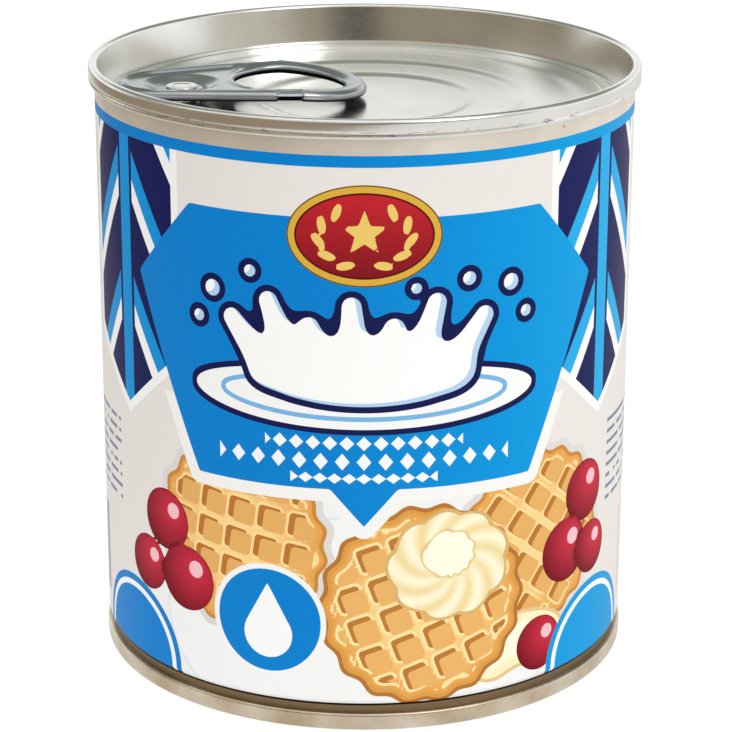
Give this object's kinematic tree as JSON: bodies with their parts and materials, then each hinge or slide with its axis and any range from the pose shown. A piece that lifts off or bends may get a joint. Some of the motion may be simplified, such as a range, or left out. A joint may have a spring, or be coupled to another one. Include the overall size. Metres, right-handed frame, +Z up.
{
  "type": "condensed milk can",
  "caption": "Sealed round tinplate food can with a litho-printed body, rolled seams, stepped easy-open lid and a ring-pull tab.",
  "frame": {"origin": "centre of the circle that the can stands on, under its bottom seam", "axes": "+Z up along the can's axis, -Y out of the front of the label, -X towards the ring-pull's rivet"},
  "size_m": [0.0748, 0.0748, 0.0829],
  "materials": {
    "printed_body": "litho print under gloss varnish",
    "lid_tinplate": "bright tinplate under a clear food varnish",
    "tab_steel": "bright rolled steel",
    "base_tinplate": "bright tinplate under a warm varnish"
  },
  "bodies": {
    "root": {"can_body": "printed_body", "top_end": "lid_tinplate", "pull_tab": "tab_steel", "bottom_end": "base_tinplate"}
  },
  "joints": []
}
